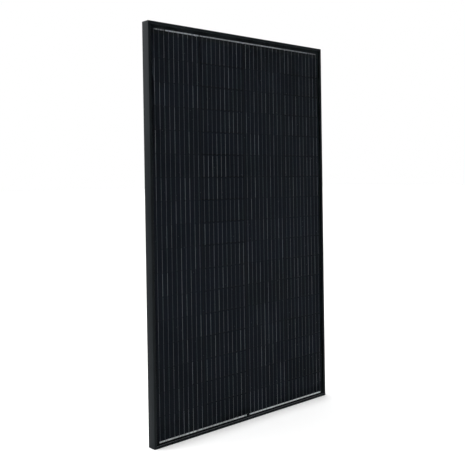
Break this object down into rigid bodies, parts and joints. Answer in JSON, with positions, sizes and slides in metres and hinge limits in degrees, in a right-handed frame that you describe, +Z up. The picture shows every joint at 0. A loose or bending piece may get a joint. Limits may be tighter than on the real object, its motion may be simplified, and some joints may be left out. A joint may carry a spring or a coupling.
{
  "type": "framed solar panel",
  "caption": "Framed glass photovoltaic panel, all black, with wired cell strings, a rear junction box with a hinged lid and slotted mounting flanges.",
  "frame": {"origin": "middle of the plane of the frame's rear flanges, where the panel is held", "axes": "+Z up along the long side, +X along the short side, -Y out of the face that takes the sun"},
  "size_m": [0.992, 0.04, 1.64],
  "materials": {
    "black_anodised": "black anodised, fine satin",
    "mill_aluminium": "plain extruded",
    "black_rubber": "matt",
    "solar_glass": "clear, faintly textured, anti-reflection coated",
    "clear_resin": "clear cured film",
    "silicon": "near-black blue, anti-reflection coated",
    "tinned_copper": "tinned, satin",
    "black_film": "matt film",
    "black_plastic": "fine moulded grain",
    "silicone_glue": "matt cured bead",
    "bare_copper": "pressed sheet",
    "diode_body": "moulded epoxy",
    "steel": "bright drawn"
  },
  "bodies": {
    "panel": {"backsheet": "black_film", "bypass_diode_left": "diode_body", "bypass_diode_right": "diode_body", "cable_gland_left": "black_plastic", "cable_gland_right": "black_plastic", "cell_string_1": "silicon", "cell_string_2": "silicon", "cell_string_3": "silicon", "cell_string_4": "silicon", "cell_wires_1": "tinned_copper", "cell_wires_2": "tinned_copper", "cell_wires_3": "tinned_copper", "cell_wires_4": "tinned_copper", "corner_key_bottom_left": "mill_aluminium", "corner_key_bottom_right": "mill_aluminium", "corner_key_top_left": "mill_aluminium", "corner_key_top_right": "mill_aluminium", "edge_seal": "black_rubber", "frame_bottom": "black_anodised", "frame_left": "black_anodised", "frame_right": "black_anodised", "frame_top": "black_anodised", "front_encapsulant": "clear_resin", "front_glass": "solar_glass", "gland_nut_left": "black_plastic", "gland_nut_right": "black_plastic", "junction_box_base": "black_plastic", "junction_box_gasket": "black_rubber", "junction_box_glue_pad": "silicone_glue", "lead_centre": "tinned_copper", "lead_insulation": "black_film", "lead_left": "tinned_copper", "lead_right": "tinned_copper", "lead_tail_centre": "tinned_copper", "lead_tail_left": "tinned_copper", "lead_tail_right": "tinned_copper", "lid_hinge_pin": "steel", "rear_encapsulant": "clear_resin", "ribbon_bottom_left": "tinned_copper", "ribbon_bottom_right": "tinned_copper", "ribbon_top_left": "tinned_copper", "ribbon_top_link": "tinned_copper", "ribbon_top_right": "tinned_copper", "ribbon_top_tab_left": "tinned_copper", "ribbon_top_tab_right": "tinned_copper", "terminal_centre": "bare_copper", "terminal_left": "bare_copper", "terminal_right": "bare_copper"},
    "lid": {"junction_box_lid": "black_plastic"}
  },
  "joints": [
    {"name": "lid_hinge", "type": "hinge", "parent": "panel", "child": "lid", "pos_m": [0, -0.0069, 0.7488], "axis": [1, 0, 0], "range_deg": [0, 120]}
  ]
}
